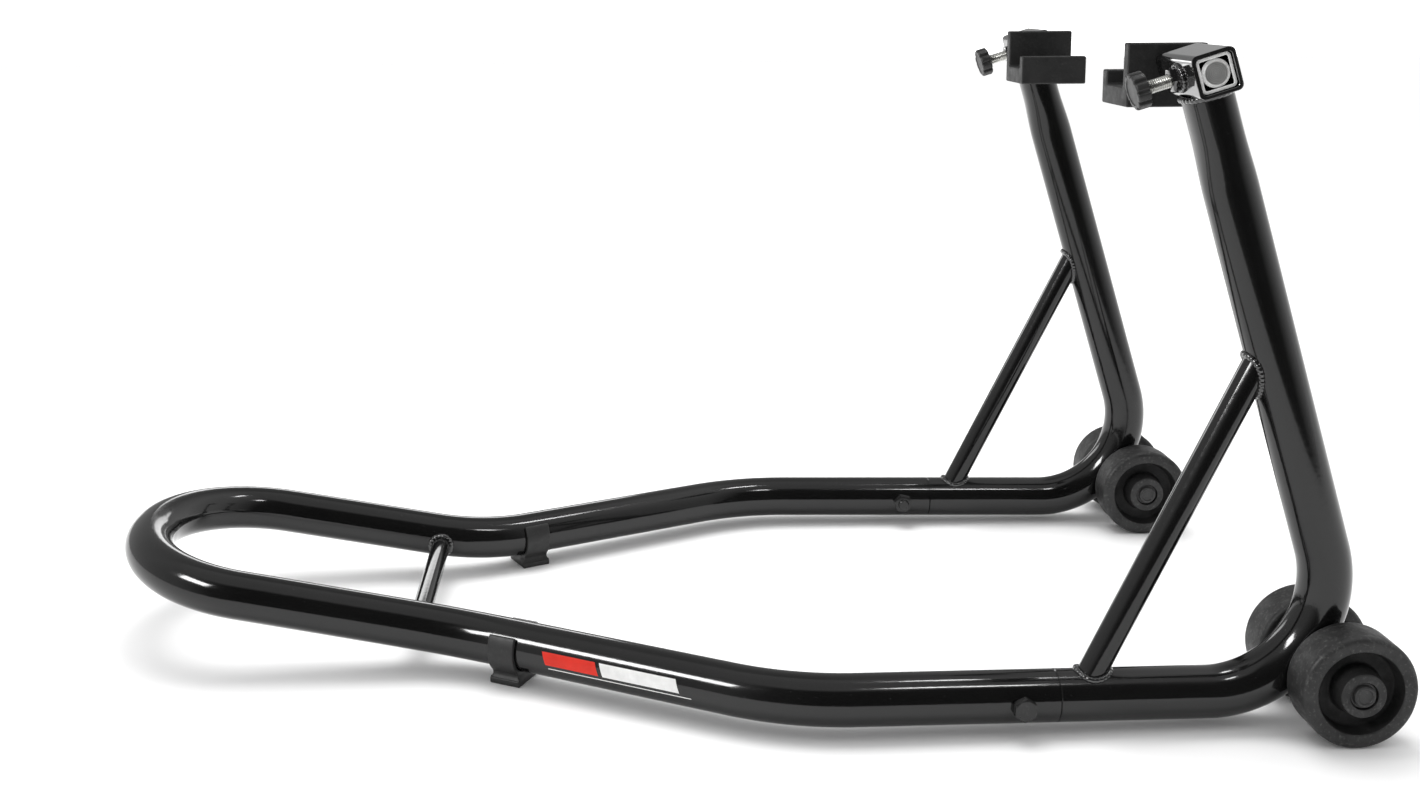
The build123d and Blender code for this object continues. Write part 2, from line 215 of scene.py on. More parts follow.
def moulded(name, tone, rough, grain, depth, dust):
    """Matt moulded plastic or rubber: mottled tone, fine grain, pale dust in patches."""
    shader = Shader(name, Specular_IOR_Level=0.4)
    patches = shader.noise(55, detail=6, roughness=0.62, distortion=0.3)
    mottled = shader.ramp(patches, (0.32, tone[0]), (0.7, tone[1]))
    specks = shader.ramp(shader.noise(420, roughness=0.6), (0.55, 0.0), (0.75, dust))
    shader.colour(shader.mix(specks, mottled, (0.16, 0.16, 0.155)))
    scuffs = shader.noise(120, detail=4, roughness=0.6)
    shader.rough(shader.ramp(scuffs, (0.35, rough[0]), (0.7, rough[1])))
    relief = shader.add(shader.noise(grain, detail=2), patches, weight=0.8)
    shader.bump(relief, strength=depth, distance=0.25 * MM)
    return shader.material


def plated(name, tint):
    """Zinc-plated or bright steel: faint blotches and fine directional scratches."""
    shader = Shader(name, Metallic=1.0)
    dark = tuple(0.72 * value for value in tint)
    blotch = shader.noise(140, detail=4, roughness=0.6)
    shader.colour(shader.ramp(blotch, (0.3, dark), (0.65, tint)))
    scratches = shader.noise(160, roughness=0.6, vector=shader.stretched((1.0, 1.0, 14.0)))
    shader.rough(shader.ramp(scratches, (0.35, 0.22), (0.7, 0.4)))
    shader.bump(scratches, strength=0.12, distance=0.1 * MM)
    return shader.material


def turned_face(name):
    """End of a turned rod: dull grey metal with tool rings about its own axis."""
    shader = Shader(name, Metallic=0.45)
    centred = shader.node("ShaderNodeVectorMath", shader.place, operation="SUBTRACT")
    centred.inputs[1].default_value = (PIVOT.x, 0, PIVOT.z)
    flat = shader.node("ShaderNodeVectorMath", centred.outputs[0], operation="MULTIPLY")
    flat.inputs[1].default_value = (1, 0, 1)
    rings = shader.node("ShaderNodeTexWave", flat.outputs[0], wave_type="RINGS",
                        rings_direction="SPHERICAL")
    rings.inputs["Scale"].default_value = 320
    rings.inputs["Distortion"].default_value = 1.5
    rings.inputs["Detail"].default_value = 2
    smear = shader.noise(160, detail=4, roughness=0.6)
    shade = shader.mix(0.5, rings.outputs["Color"], smear)
    shader.colour(shader.ramp(shade, (0.2, (0.17, 0.17, 0.17)), (0.8, (0.42, 0.42, 0.41))))
    shader.rough(shader.ramp(smear, (0.3, 0.42), (0.7, 0.58)))
    shader.bump(rings.outputs["Fac"], strength=0.35, distance=0.12 * MM)
    return shader.material


def cut_steel_painted_highlight(name):
    """Sawn and bevelled bare steel edge, satin, with fine scratches; its pale, near-white and barely
    metallic tone is a painted highlight.
    """
    shader = Shader(name, Metallic=0.1)
    blotch = shader.noise(260, detail=4, roughness=0.6)
    shader.colour(shader.ramp(blotch, (0.3, (0.8, 0.8, 0.79)), (0.55, (0.98, 0.98, 0.97))))
    shader.rough(shader.ramp(shader.noise(400, roughness=0.6), (0.3, 0.34), (0.7, 0.5)))
    shader.bump(shader.noise(900, detail=2), strength=0.2, distance=0.1 * MM)
    return shader.material


def decal_film(name, tint):
    """Vinyl film: flat print colour with faint fading and a soft gloss."""
    shader = Shader(name, Specular_IOR_Level=0.25)
    faded = tuple(0.86 * value for value in tint)
    shader.colour(shader.ramp(shader.noise(120, detail=4, roughness=0.6), (0.3, faded), (0.7, tint)))
    shader.rough(shader.ramp(shader.noise(300, roughness=0.6), (0.3, 0.3), (0.7, 0.42)))
    shader.bump(shader.noise(500, detail=2), strength=0.06, distance=0.2 * MM)
    return shader.material


COAT = powder_coat("powder_coat_black", 0.0025, 0.006)
SLEEVE_COAT = powder_coat("powder_coat_sleeve", 0.0025, 0.006, coat=1.0, rough=0.09, specular=1.0)
WELD_COAT = powder_coat("powder_coat_weld", 0.004, 0.01, coat=0.8, rough=0.07, specular=0.7)
BOLT_BLACK = moulded("bolt_black", (0.008, 0.018), (0.16, 0.28), grain=900, depth=0.12, dust=0.12)
WHEEL = moulded("wheel_rubber", (0.008, 0.03), (0.42, 0.66), grain=700, depth=0.4, dust=0.35)
# a darker copy of the wheel rubber for the faces in the wheels' recesses: painted shade
RECESS_PAINTED_SHADE = moulded("wheel_recess", (0.002, 0.006), (0.6, 0.8), grain=700, depth=0.3, dust=0.05)
HUB_CAP = moulded("cap_black", (0.014, 0.03), (0.36, 0.55), grain=1200, depth=0.3, dust=0.2)
REST = moulded("rest_rubber", (0.008, 0.015), (0.5, 0.68), grain=1100, depth=0.3, dust=0.08)
KNOB = moulded("knob_plastic", (0.022, 0.034), (0.36, 0.5), grain=1500, depth=0.25, dust=0.1)
CLIP = moulded("clip_plastic", (0.012, 0.022), (0.42, 0.58), grain=1300, depth=0.25, dust=0.08)
ZINC = plated("zinc", (0.66, 0.66, 0.63))
STEEL = plated("bare_steel", (0.5, 0.5, 0.49))
ROD_FACE = turned_face("turned_steel")
CUT_EDGE_PAINTED_HIGHLIGHT = cut_steel_painted_highlight("cut_edge_painted_highlight")
RED = decal_film("decal_red", (0.78, 0.03, 0.015))
WHITE = decal_film("decal_white", (0.95, 0.95, 0.94))

# ================================ mesh helpers


def pose(origin, x_axis, z_axis):
    """Placement whose local X and Z lie along the given directions."""
    z_axis = z_axis.normalized()
    x_axis = (x_axis - z_axis * x_axis.dot(z_axis)).normalized()
    y_axis = z_axis.cross(x_axis)
    turn = Matrix((x_axis, y_axis, z_axis)).transposed()
    return Matrix.Translation(origin) @ turn.to_4x4()


def piece(name, vertices, faces, materials, body, slot, nodes=(), sharp=35, shades=None):
    """A finished mesh piece that rides on a body and may stand for CAD nodes.

    shades gives each face's place in a tuple of materials; sharp is in degrees.
    """
    mesh = bpy.data.meshes.new(name)
    mesh.from_pydata([tuple(vertex) for vertex in vertices], [], faces)
    materials = materials if isinstance(materials, tuple) else (materials,)
    for material in materials:
        mesh.materials.append(material)
    if shades:
        for polygon, shade in zip(mesh.polygons, shades):
            polygon.material_index = shade
    work = bmesh.new()
    work.from_mesh(mesh)
    bmesh.ops.recalc_face_normals(work, faces=work.faces)
    work.to_mesh(mesh)
    work.free()
    mesh.shade_smooth()
    mesh.set_sharp_from_angle(angle=radians(sharp))
    made = bpy.data.objects.new(name, mesh)
    bpy.context.scene.collection.objects.link(made)
    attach(made, body)
    if nodes:
        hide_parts(*nodes)
    return made


def loft(rings, loop=False, fans=True):
    """Vertices and faces of rings joined in order; looped, or capped with fans or flat faces."""
    count = len(rings[0])
    vertices = [point for ring in rings for point in ring]
    faces = []
    last = len(rings) if loop else len(rings) - 1
    for row in range(last):
        here = row * count
        there = ((row + 1) % len(rings)) * count
        for k in range(count):
            after = (k + 1) % count
            faces.append((here + k, here + after, there + after, there + k))
    if not loop:
        for start in (0, (len(rings) - 1) * count):
            if fans:
                vertices.append(sum((vertices[start + k] for k in range(count)), Vector()) / count)
                hub = len(vertices) - 1
                faces.extend((start + k, start + (k + 1) % count, hub) for k in range(count))
            else:
                faces.append(tuple(range(start, start + count)))
    return vertices, faces


def rounded_path(points, radii, arc_step=radians(2), run_step=14 * MM):
    """Points along straight runs joined by tangent arcs, each with its direction."""
    path = [(points[0], (points[1] - points[0]).normalized())]

    def run_to(target, heading):
        start = path[-1][0]
        steps = max(1, ceil((target - start).length / run_step))
        path.extend((start.lerp(target, k / steps), heading) for k in range(1, steps + 1))

    for index, radius in enumerate(radii, start=1):
        before = (points[index] - points[index - 1]).normalized()
        after = (points[index + 1] - points[index]).normalized()
        turn = before.angle(after)
        run_to(points[index] - before * radius * tan(turn / 2), before)
        start = path[-1][0]
        axis = before.cross(after).normalized()
        centre = start + axis.cross(before) * radius
        steps = max(2, ceil(turn / arc_step))
        for k in range(1, steps + 1):
            swing = Matrix.Rotation(turn * k / steps, 3, axis)
            path.append((centre + swing @ (start - centre), swing @ before))
    run_to(points[-1], (points[-1] - points[-2]).normalized())
    return path


def softened(points, radii, steps=5, closed=True):
    """Plane outline with its corners rounded, as (x, y) pairs."""
    flat = [Vector((x, y, 0)) for x, y in points]
    if closed:
        start = (flat[-1] + flat[0]) / 2
        flat = [start, *flat, start]
    count = len(flat) - 2
    radii = [radii] * count if isinstance(radii, (int, float)) else list(radii)
    outline = [flat[0]]
    for index, radius in enumerate(radii, start=1):
        before = (flat[index] - flat[index - 1]).normalized()
        after = (flat[index + 1] - flat[index]).normalized()
        turn = before.angle(after)
        if radius <= 0 or turn < radians(1):
            outline.append(flat[index])
            continue
        start = flat[index] - before * radius * tan(turn / 2)
        axis = before.cross(after).normalized()
        centre = start + axis.cross(before) * radius
        for k in range(steps + 1):
            outline.append(centre + Matrix.Rotation(turn * k / steps, 3, axis) @ (start - centre))
    if not closed:
        outline.append(flat[-1])
    return [(point.x, point.y) for point in outline]


def held(outline, margin=0.35 * MM):
    """The outline with points near the ends of its long flats, which keep their shading flat."""
    kept = []
    for k, (x, y) in enumerate(outline):
        kept.append((x, y))
        after_x, after_y = outline[(k + 1) % len(outline)]
        run = sqrt((after_x - x) ** 2 + (after_y - y) ** 2)
        if run > 4 * margin:
            for share in (margin / run, 1 - margin / run):
                kept.append((x + (after_x - x) * share, y + (after_y - y) * share))
    return kept


def full_turn(count):
    return [2 * pi * k / count for k in range(count)]


def turned(place, profile, segments=96, shape=None, loop=True):
    """Rings of a (radius, height) profile turned about local Z; shape may push each point."""
    rings = []
    for radius, height in profile:
        ring = []
        for angle in full_turn(segments):
            r, h = shape(angle, radius, height) if shape else (radius, height)
            ring.append(place @ Vector((r * cos(angle), r * sin(angle), h)))
        rings.append(ring)
    return loft(rings, loop=loop)


def tube_rings(path, half_axes, power=None, segments=72, lip=0.5 * MM):
    """Rings of a hollow tube along a path: outer skin one way, bore the other, ends chamfered.

    half_axes(distance, total) gives the section's two half-axes; power(distance, total) gives the
    exponent that makes it squarer.
    """
    lengths = [0.0]
    for (before, _), (here, _) in zip(path, path[1:]):
        lengths.append(lengths[-1] + (here - before).length)
    total = lengths[-1]
    start, heading = path[0]
    across = (SIDEWAYS - heading * SIDEWAYS.dot(heading)).normalized()
    stations = []
    for (point, heading_here), distance in zip(path, lengths):
        across = heading.rotation_difference(heading_here) @ across
        heading = heading_here
        stations.append((point, heading, across, distance))

    def ring(station, shrink, shift=0.0):
        point, heading, across, distance = station
        along_side, along_up = half_axes(distance, total)
        second = heading.cross(across)
        squareness = power(distance, total) if power else 1.0
        made = []
        for angle in full_turn(segments):
            c, s = cos(angle), sin(angle)
            c = copysign(abs(c) ** squareness, c)
            s = copysign(abs(s) ** squareness, s)
            reach = across * (along_side - shrink) * c + second * (along_up - shrink) * s
            made.append(point + heading * shift + reach)
        return made

    first, last = stations[0], stations[-1]
    inside = [station for station in stations if lip < station[3] < total - lip]
    rings = [ring(first, lip), ring(first, 0, lip)]
    rings += [ring(station, 0) for station in inside]
    rings += [ring(last, 0, -lip), ring(last, lip)]
    rings += [ring(last, WALL - lip / 2), ring(last, WALL, -lip / 2)]
    rings += [ring(station, WALL) for station in reversed(inside[::2])]
    rings += [ring(first, WALL, lip / 2), ring(first, WALL - lip / 2)]
    return rings


def weld(name, loop, size=2.1 * MM, pitch=2.6 * MM):
    """A weld bead on the frame along a closed loop of points, with the ripples of its run."""
    ripple_steps, bead_sides = 6, 10
    count = len(loop)
    smooth = []
    for k in range(count):
        smooth.append((loop[k - 1] + loop[k] * 2 + loop[(k + 1) % count]) / 4)
    length = sum((smooth[k] - smooth[k - 1]).length for k in range(count))
    ripples = max(6, round(length / pitch))
    steps = ripples * ripple_steps
    marks = [0.0]
    for k in range(count):
        marks.append(marks[-1] + (smooth[(k + 1) % count] - smooth[k]).length)
    points = []
    row = 0
    for step in range(steps):
        goal = length * step / steps
        while marks[row + 1] < goal:
            row += 1
        part = (goal - marks[row]) / max(marks[row + 1] - marks[row], 1e-9)
        points.append(smooth[row].lerp(smooth[(row + 1) % count], part))
    centre = sum(points, Vector()) / steps
    rings = []
    for step, point in enumerate(points):
        along = (points[(step + 1) % steps] - points[step - 1]).normalized()
        outside = point - centre
        outside = (outside - along * outside.dot(along)).normalized()
        second = along.cross(outside)
        phase = step / ripple_steps
        swell = 0.86 + 0.2 * abs(sin(pi * phase))
        wander = 1 + 0.07 * noise.noise(point * 260)
        reach = size * swell * wander
        ring = []
        for angle in full_turn(bead_sides):
            lag = along * size * 0.35 * cos(angle)
            ring.append(point + outside * reach * cos(angle) + second * reach * sin(angle) + lag)
        rings.append(ring)
    piece(name, *loft(rings, loop=True), WELD_COAT, "frame", "powder_coat", sharp=60)


def tree_of(obj):
    mesh = obj.data
    return BVHTree.FromPolygons([v.co for v in mesh.vertices], [p.vertices for p in mesh.polygons])


def meeting(tree, origin, heading, radius, axis, count=72, reach=0.3):
    """Loop of points, turning about an axis, where a round bar going along heading meets a surface."""
    place = pose(origin, SIDEWAYS if abs(axis.y) < 0.9 else UP, axis)
    loop = []
    for angle in full_turn(count):
        start = place @ Vector((radius * cos(angle), radius * sin(angle), 0))
        loop.append(tree.ray_cast(start, heading, reach)[0])
    return loop


# ================================ tubes


def steady(distance, total):
    return TUBE_R, TUBE_R


half_handle = [SEAM, SPLAY, KINK, TIP]
handle_points = half_handle + [sided(point, -1) for point in reversed(half_handle)]
handle_path = rounded_path(handle_points, HANDLE_RADII + HANDLE_RADII[::-1])
handle = piece("handle_tube_skin", *loft(tube_rings(handle_path, steady), loop=True), COAT,
               "frame", "powder_coat", ["handle_tube"])
handle_tree = tree_of(handle)

PRESSED = 60 * MM          # length of the upright's top that is squeezed
TAPER = 36 * MM            # length over which the squeeze comes in
PRESSED_WIDER = 1.5 * MM
PRESSED_THINNER = 2.0 * MM


def eased(value):
    value = min(max(value, 0.0), 1.0)
    return value * value * (3 - 2 * value)


def pressing(distance, total):
    return eased((distance - (total - PRESSED)) / TAPER)


def pressed(distance, total):
    """Half-axes of the side tube: its top is squeezed to the sleeve's width."""
    squeeze = pressing(distance, total)
    return TUBE_R + PRESSED_WIDER * squeeze, TUBE_R - PRESSED_THINNER * squeeze


def squared(distance, total):
    return 1 - 0.1 * pressing(distance, total)


side_trees = {}
for side, sign in SIDES:
    points = [SEAM, CORNER, CORNER + UP * SLEEVE_BOTTOM]
    path = rounded_path([sided(point, sign) for point in points], [BEND_R], run_step=4 * MM)
    rings = tube_rings(path, pressed, power=squared)
    made = piece(f"{side}_side_tube_skin", *loft(rings, loop=True), COAT, "frame", "powder_coat",
                 [f"{side}_side_tube"])
    side_trees[side] = tree_of(made)


def bar(name, origin, along, radius, tree, node):
    """A round bar whose ends are cut to the tube that they meet, with a weld round each end."""
    sunk, weld_gap, rows = 0.8 * MM, 0.7 * MM, 12
    ways = (("first", -along), ("second", along))
    ends = []
    for _, heading in ways:
        loop = meeting(tree, origin, heading, radius, along)
        ends.append([point + heading * sunk for point in loop])
    rings = [[here.lerp(there, k / rows) for here, there in zip(*ends)] for k in range(rows + 1)]
    piece(name, *loft(rings), COAT, "frame", "powder_coat", [node])
    for label, heading in ways:
        weld(f"{name}_{label}_weld", meeting(tree, origin, heading, radius + weld_gap, along))


CROSSBAR = Vector((AXLE.x - 573.3 * MM, 0, 26.5 * MM))
CROSSBAR_R = 7 * MM
BRACE_FOOT = on_leg(156.0 * MM)
BRACE_HEAD = CORNER + UP * 231.5 * MM
BRACE_R = 8.5 * MM

bar("crossbar", CROSSBAR, SIDEWAYS, CROSSBAR_R, handle_tree, "handle_crossbar")
for side, sign in SIDES:
    foot, head = sided(BRACE_FOOT, sign), sided(BRACE_HEAD, sign)
    along = (head - foot).normalized()
    bar(f"{side}_brace_bar", (foot + head) / 2, along, BRACE_R, side_trees[side], f"{side}_brace")

# ================================ sleeves and arms


def rounded_square(size, radius):
    half = size / 2
    corners = [(-half, -half), (half, -half), (half, half), (-half, half)]
    return held(softened(corners, radius, steps=6))


def square_tube(outer, inner, outer_radius, inner_radius, length, edge=0.5 * MM):
    """Rings of a square tube along local Z from 0 to its length, edges eased."""
    skin = ((0, -edge), (edge * 0.3, -edge * 0.3), (edge, 0), (edge * 1.6, 0),
            (length - edge * 1.6, 0), (length - edge, 0),
            (length - edge * 0.3, -edge * 0.3), (length, -edge))
    bore = ((length, edge * 0.5), (length - edge * 0.5, 0), (edge * 0.5, 0), (0, edge * 0.5))
    levels = []
    for size, radius, heights in ((outer, outer_radius, skin), (inner, inner_radius, bore)):
        for height, grow in heights:
            outline = rounded_square(size + 2 * grow, radius + grow)
            levels.append([(x, y, height) for x, y in outline])
    return levels


FAR_END = range(6, 9)       # rows of faces at a square tube's far end: chamfer, end face, bore's edge


def placed(levels, place):
    return [[place @ Vector(point) for point in level] for level in levels]


REST_LOW, REST_HIGH = (Vector(corner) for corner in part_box("left_rest_cover"))
ARM_LOW, ARM_HIGH = (Vector(corner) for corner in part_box("left_rest_arm"))
SLEEVE_BORE = 21.4 * MM
ARM_SIZE = 20.8 * MM
ARM_BORE = 17.0 * MM
ARM_LENGTH = ARM_HIGH.y - ARM_LOW.y
ROD_R = 8.4 * MM
ROD_START = REST_HIGH.y - 2.2 * MM
ROD_LENGTH = ARM_HIGH.y - ROD_START
ROD_SEGMENTS = 96


def rod_profile():
    """Profile of the rod along its axis: groove for the pin, chamfer, turned end face."""
    groove, half_width, bottom_r = SIDE_Y - ROD_START, 1.7 * MM, ROD_R - 2.2 * MM
    profile = [(ROD_R, 0), (ROD_R, groove - half_width), (bottom_r, groove - half_width),
               (bottom_r, groove + half_width), (ROD_R, groove + half_width),
               (ROD_R, ROD_LENGTH - 1.2 * MM), (ROD_R - 1.7 * MM, ROD_LENGTH)]
    chamfer_row = len(profile) - 2
    tool_marks = 14
    for k in range(1, tool_marks + 1):
        radius = (ROD_R - 1.8 * MM) * (1 - k / (tool_marks + 0.6))
        profile.append((radius, ROD_LENGTH - 0.12 * MM * (k % 2) - 0.1 * MM))
    return profile, chamfer_row


for side, sign in SIDES:
    out = SIDEWAYS * sign
    sleeve_place = pose(sided(PIVOT, sign) - out * SLEEVE_LENGTH / 2, ACROSS, out)
    levels = square_tube(SLEEVE_SIZE, SLEEVE_BORE, 3.6 * MM, 2.6 * MM, SLEEVE_LENGTH)
    piece(f"{side}_square_sleeve", *loft(placed(levels, sleeve_place), loop=True), SLEEVE_COAT,
          "frame", "powder_coat", [f"{side}_rest_sleeve"])
    top = sided(CORNER + UP * SLEEVE_BOTTOM, sign) - UP * 0.6 * MM
    loop = []
    for angle in full_turn(90):
        loop.append(top + ACROSS * 14.2 * MM * cos(angle) + SIDEWAYS * 17.7 * MM * sin(angle))
    weld(f"{side}_sleeve_weld", loop, size=2.0 * MM, pitch=3.0 * MM)

    arm_place = pose(Vector((PIVOT.x, ARM_LOW.y * sign, PIVOT.z)), ACROSS, out)
    levels = square_tube(ARM_SIZE, ARM_BORE, 2.8 * MM, 1.2 * MM, ARM_LENGTH)
    vertices, faces = loft(placed(levels, arm_place), loop=True)
    # the arm's far end is bare steel in the cut-edge material, whose near-white tone is a painted
    # highlight
    shades = [int(face // len(levels[0]) in FAR_END) for face in range(len(faces))]
    piece(f"{side}_square_arm", vertices, faces, (COAT, CUT_EDGE_PAINTED_HIGHLIGHT), f"{side}_arm", "zinc_steel",
          [f"{side}_rest_arm"], shades=shades)

    rod_place = pose(Vector((PIVOT.x, ROD_START * sign, PIVOT.z)), ACROSS, out)
    profile, chamfer_row = rod_profile()
    vertices, faces = turned(rod_place, profile, ROD_SEGMENTS, loop=False)
    rows = [face // ROD_SEGMENTS for face in range(len(faces))]
    # the rod's chamfer is bare steel in the cut-edge material, whose near-white tone is a painted
    # highlight
    shades = [0 if row < chamfer_row else 1 if row == chamfer_row else 2 for row in rows]
    piece(f"{side}_rod", vertices, faces, (ZINC, CUT_EDGE_PAINTED_HIGHLIGHT, ROD_FACE), f"{side}_rest", "zinc_steel",
          [f"{side}_pivot_rod"], shades=shades)

# ================================ hexagons, screws, knobs


def hexagon(height, hole):
    """Profile and shape of a hexagon nut or head with its corners turned down at both ends.

    A radius of -1 in the profile stands for the hexagon's own flats and corners.
    """
    face_radius = HEX / 2 * 0.96
    drop = tan(radians(28))

    def shape(angle, radius, level):
        turn = (angle % (pi / 3)) - pi / 6
        corner_radius = HEX / 2 / cos(turn)
        if radius < 0:
            cut = max(0.0, corner_radius - face_radius) * drop
            return corner_radius, level + (cut if level < height / 2 else -cut)
        return radius, level

    edge = 0.4 * MM
    profile = [(face_radius, 0), (-1, 0), (-1, height), (face_radius, height)]
    if hole:
        profile += [(hole + edge, height), (hole, height - edge), (hole, edge), (hole + edge, 0)]
    return profile, shape


def thread(depth, length, place, segments=40, per_turn=8):
    """Rings of a threaded bar along local Z, its ridge winding as a right-hand helix."""
    rings = []
    steps = ceil(length / THREAD_PITCH * per_turn)
    for row in range(steps + 1):
        height = length * row / steps
        fade = min(1.0, height / THREAD_PITCH, (length - height) / THREAD_PITCH)
        ring = []
        for k, angle in enumerate(full_turn(segments)):
            phase = (height / THREAD_PITCH - k / segments) % 1
            ridge = abs(2 * phase - 1)
            r = THREAD_R - depth + depth * min(1.0, 1.35 * ridge) * fade
            ring.append(place @ Vector((r * cos(angle), r * sin(angle), height)))
        rings.append(ring)
    return rings


CLAMP_OUT = -ACROSS
SCREW_START = 10.6 * MM                                     # distances from the rod's axis
KNOB_BACK = SLEEVE_SIZE / 2 + NUT_HEIGHT + 13.5 * MM
SCREW_LENGTH = KNOB_BACK + 6.5 * MM - SCREW_START
KNOB_R = 11 * MM
KNOB_HEIGHT = 9 * MM
FLUTES_FROM = 7.8 * MM


def fluted(angle, radius, height):
    """Ten rounded grips: each groove is deepest at the rim and dies out inward."""
    if radius < FLUTES_FROM:
        return radius, height
    groove = max(0.0, cos(angle * 10)) ** 1.6
    share = (radius - FLUTES_FROM) / (KNOB_R - FLUTES_FROM)
    return radius - 1.5 * MM * groove * share, height


KNOB_OUTLINE = softened(
    [(4.05 * MM, 6.9 * MM), (4.05 * MM, 0), (6.4 * MM, 0), (7.0 * MM, 1.0 * MM),
     (KNOB_R, 1.0 * MM), (KNOB_R, KNOB_HEIGHT), (8.2 * MM, KNOB_HEIGHT),
     (7.6 * MM, KNOB_HEIGHT - 0.5 * MM), (0.3 * MM, KNOB_HEIGHT - 0.5 * MM)],
    [0.3 * MM, 0.3 * MM, 0.3 * MM, 0.9 * MM, 1.3 * MM, 0.2 * MM, 0.2 * MM], steps=4, closed=False)

for side, sign in SIDES:
    centre = sided(PIVOT, sign)
    seat = pose(centre + CLAMP_OUT * SLEEVE_SIZE / 2, SIDEWAYS, CLAMP_OUT)
    profile, shape = hexagon(NUT_HEIGHT, hole=4.1 * MM)
    piece(f"{side}_welded_nut", *turned(seat, profile, 96, shape), WELD_COAT, "frame", "powder_coat",
          [f"{side}_clamp_nut"])
    loop = []
    for angle in full_turn(60):
        loop.append(seat @ Vector((7.5 * MM * cos(angle), 7.5 * MM * sin(angle), 0.5 * MM)))
    weld(f"{side}_nut_weld", loop, size=1.5 * MM, pitch=2.4 * MM)

    screw_place = pose(centre + CLAMP_OUT * SCREW_START, SIDEWAYS, CLAMP_OUT)
    piece(f"{side}_threaded_screw", *loft(thread(0.62 * MM, SCREW_LENGTH, screw_place)), ZINC,
          f"{side}_screw", "zinc_steel", [f"{side}_clamp_screw"], sharp=50)
    knob_place = pose(centre + CLAMP_OUT * KNOB_BACK, SIDEWAYS, CLAMP_OUT)
    piece(f"{side}_fluted_knob", *turned(knob_place, KNOB_OUTLINE, 160, fluted, loop=False), KNOB,
          f"{side}_knob", "knob_plastic", [f"{side}_clamp_knob"], sharp=50)

# -------------------------------- joint bolts: head outboard
HEAD_HEIGHT = 5.3 * MM
HEAD_TURN = Vector((0.06, 0, 1))        # direction of one of the head's corners
for side, sign in SIDES:
    bolt, out = sided(BOLT, sign), sided(LEG_OUT, sign)
    seat = pose(bolt + out * TUBE_R, HEAD_TURN, out)
    profile, shape = hexagon(HEAD_HEIGHT, hole=0)
    piece(f"{side}_bolt_head", *turned(seat, profile, 96, shape, loop=False), BOLT_BLACK, "frame",
          "black_fastener", ["joint_bolts"] if sign > 0 else (), sharp=20)
    inner = pose(bolt - out * TUBE_R, UP, -out)
    profile, shape = hexagon(NUT_HEIGHT, hole=3.9 * MM)
    piece(f"{side}_bolt_nut", *turned(inner, profile, 96, shape), BOLT_BLACK, "frame",
          "black_fastener", ["joint_nuts"] if sign > 0 else ())
    tail = pose(bolt - out * (TUBE_R - 1 * MM), UP, -out)
    piece(f"{side}_bolt_end", *loft(thread(0.6 * MM, NUT_HEIGHT + 4 * MM, tail)), BOLT_BLACK,
          "frame", "black_fastener", sharp=50)

# ================================ axles and wheels

ALONG = Vector((1, 0, 0))
WHEEL_R = AXLE.z
WHEEL_W = 26 * MM
TREAD_START = TUBE_R + 1.8 * MM                 # distances from the side tube's middle plane
WHEEL_MIDDLE = TREAD_START + WHEEL_W / 2
HUB_IN = 16.8 * MM
HUB_OUT = TREAD_START + WHEEL_W + 3 * MM
HUB_R, HUB_ROOT_R = 13.5 * MM, 15.5 * MM
RIM_ROOT_R, RIM_R = 24.3 * MM, 26.0 * MM
CAP_SEAT_R = 8.5 * MM
AXLE_R = 5 * MM
BORE_R = AXLE_R + 0.1 * MM
SLEEVE_R = 9 * MM
SLEEVE_HALF = 15.5 * MM
WHEEL_SEGMENTS = 160


def wheel_outline(low, high):
    """Half section of a wheel: rounded tread, deep tapered recess, hub boss with a cap seat."""
    half = WHEEL_W / 2
    web = seat_depth = 3 * MM
    points = [
        (BORE_R, low), (HUB_R, low), (HUB_ROOT_R, -web), (RIM_ROOT_R, -web), (RIM_R, -half),
        (WHEEL_R, -half), (WHEEL_R, -0.6 * MM), (WHEEL_R + 0.0001 * MM, 0), (WHEEL_R, 0.6 * MM),
        (WHEEL_R, half), (RIM_R, half), (RIM_ROOT_R, web), (HUB_ROOT_R, web), (HUB_R, high),
        (CAP_SEAT_R, high), (CAP_SEAT_R, high - seat_depth), (BORE_R, high - seat_depth),
    ]
    soft = [0.3, 0.8, 1.4, 1.6, 1.0, 3.4, 0, 0, 0, 3.4, 1.0, 1.6, 1.4, 0.9, 0.4, 0.2, 0.2]
    return softened(points, [value * MM for value in soft], steps=6)


def recess_painted_shade_rows(outline):
    """1 for the rows of faces that lie in the recesses, which take the darker copy of the rubber as
    painted shade; 0 for the others.
    """
    shades = []
    for row, (radius, height) in enumerate(outline):
        after_radius, after_height = outline[(row + 1) % len(outline)]
        deep = abs(height + after_height) / 2 < WHEEL_W / 2 - 0.7 * MM
        between = 10 * MM < (radius + after_radius) / 2 < RIM_R - 0.1 * MM
        shades += [int(deep and between)] * WHEEL_SEGMENTS
    return shades


def ring_outline(length, radius, steps=3):
    """Section of a washer or short tube around the axle."""
    corners = [(AXLE_R, 0), (SLEEVE_R, 0), (SLEEVE_R, length), (AXLE_R, length)]
    return softened(corners, radius, steps)


